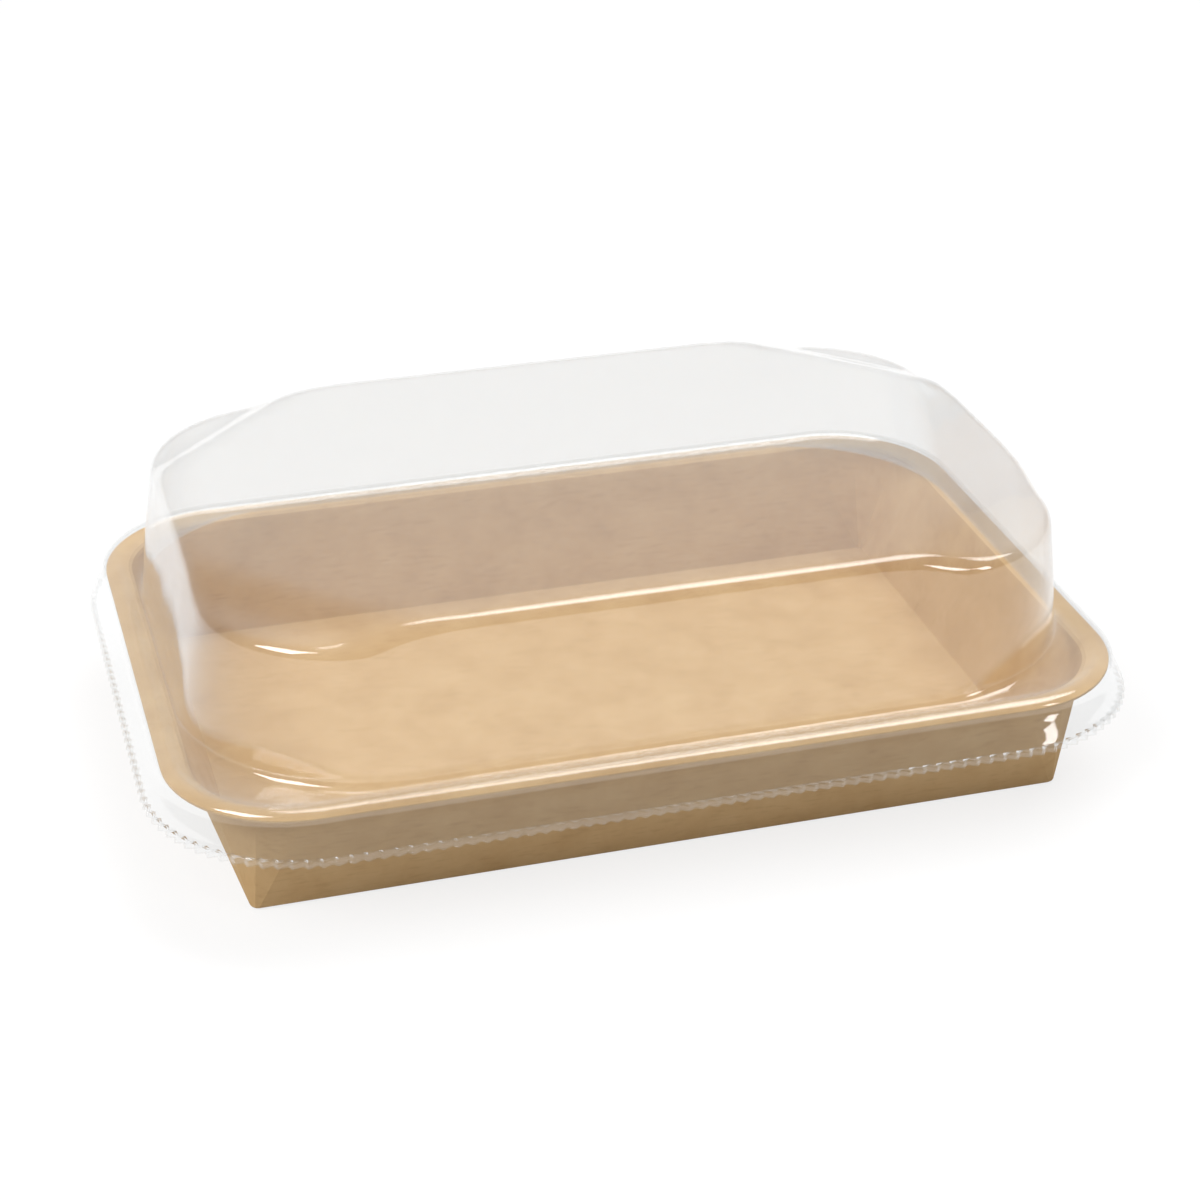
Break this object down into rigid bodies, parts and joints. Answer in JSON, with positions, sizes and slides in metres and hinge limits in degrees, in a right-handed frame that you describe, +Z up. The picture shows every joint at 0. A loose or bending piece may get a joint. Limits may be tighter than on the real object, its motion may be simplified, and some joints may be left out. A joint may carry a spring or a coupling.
{
  "type": "takeaway sushi tray",
  "caption": "Shallow rectangular tray of folded kraft board with sloping walls and a flat rim, closed by a clear dome lid with lowered corners and a flared skirt.",
  "frame": {"origin": "middle of the underside of the tray, where it stands", "axes": "+X along the tray's length, +Y across it, +Z up through the lid"},
  "size_m": [0.188, 0.134, 0.054],
  "materials": {
    "board": "matte uncoated kraft board",
    "clear_sheet": "clear glossy thermoformed sheet"
  },
  "bodies": {
    "root": {"tray": "board", "lid": "clear_sheet"}
  },
  "joints": []
}
